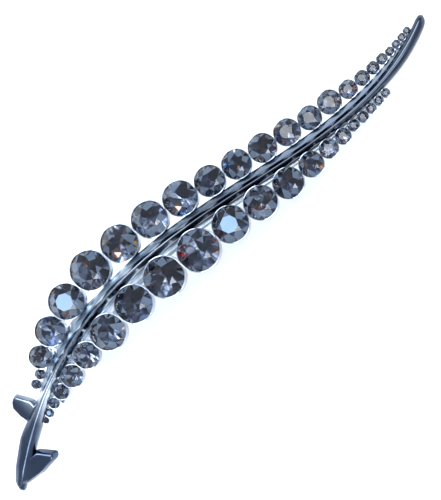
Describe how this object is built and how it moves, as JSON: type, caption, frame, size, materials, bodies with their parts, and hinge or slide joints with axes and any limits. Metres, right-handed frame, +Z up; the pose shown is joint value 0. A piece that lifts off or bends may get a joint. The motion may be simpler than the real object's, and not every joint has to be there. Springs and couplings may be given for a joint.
{
  "type": "rhinestone hair clip",
  "caption": "Feather-shaped hair clip: a curved gunmetal casting with two rows of round smoky stones on a sprung beak clip with a toothed lower arm.",
  "frame": {"origin": "on the flat underside of the lower arm, about mid length", "axes": "+X along the length from the thorned stem to the tip, +Y towards the long row of stones, +Z up through the stones"},
  "size_m": [0.1054, 0.022, 0.014],
  "materials": {
    "smoky_glass": "foil-backed cut glass, smoky grey",
    "gunmetal_plate": "polished gunmetal plating",
    "bright_steel": "bright nickel-plated spring steel",
    "spring_wire": "drawn spring wire",
    "solder": "dull tin solder"
  },
  "bodies": {
    "feather_clip": {"feather_casting": "gunmetal_plate", "front_solder": "solder", "hinge_pin": "bright_steel", "left_stone_01": "smoky_glass", "left_stone_02": "smoky_glass", "left_stone_03": "smoky_glass", "left_stone_04": "smoky_glass", "left_stone_05": "smoky_glass", "left_stone_06": "smoky_glass", "left_stone_07": "smoky_glass", "left_stone_08": "smoky_glass", "left_stone_09": "smoky_glass", "left_stone_10": "smoky_glass", "left_stone_11": "smoky_glass", "left_stone_12": "smoky_glass", "left_stone_13": "smoky_glass", "left_stone_14": "smoky_glass", "left_stone_15": "smoky_glass", "left_stone_16": "smoky_glass", "left_stone_17": "smoky_glass", "left_stone_18": "smoky_glass", "left_stone_19": "smoky_glass", "left_stone_20": "smoky_glass", "left_stone_21": "smoky_glass", "left_stone_22": "smoky_glass", "left_stone_23": "smoky_glass", "rear_solder": "solder", "right_stone_01": "smoky_glass", "right_stone_02": "smoky_glass", "right_stone_03": "smoky_glass", "right_stone_04": "smoky_glass", "right_stone_05": "smoky_glass", "right_stone_06": "smoky_glass", "right_stone_07": "smoky_glass", "right_stone_08": "smoky_glass", "right_stone_09": "smoky_glass", "right_stone_10": "smoky_glass", "right_stone_11": "smoky_glass", "right_stone_12": "smoky_glass", "right_stone_13": "smoky_glass", "right_stone_14": "smoky_glass", "right_stone_15": "smoky_glass", "right_stone_16": "smoky_glass", "right_stone_17": "smoky_glass", "right_stone_18": "smoky_glass", "right_stone_19": "smoky_glass", "right_stone_20": "smoky_glass", "right_stone_21": "smoky_glass", "torsion_spring": "spring_wire", "upper_arm": "bright_steel"},
    "lower_jaw": {"lower_arm": "bright_steel"}
  },
  "joints": [
    {"name": "jaw_hinge", "type": "hinge", "parent": "feather_clip", "child": "lower_jaw", "pos_m": [-0.0275, 0.00209, 0.0046], "axis": [0, 1, 0], "range_deg": [0, 14], "stiffness_Nm_per_rad": 0.05, "springref_deg": -57.3, "deforming": ["torsion_spring"]}
  ]
}
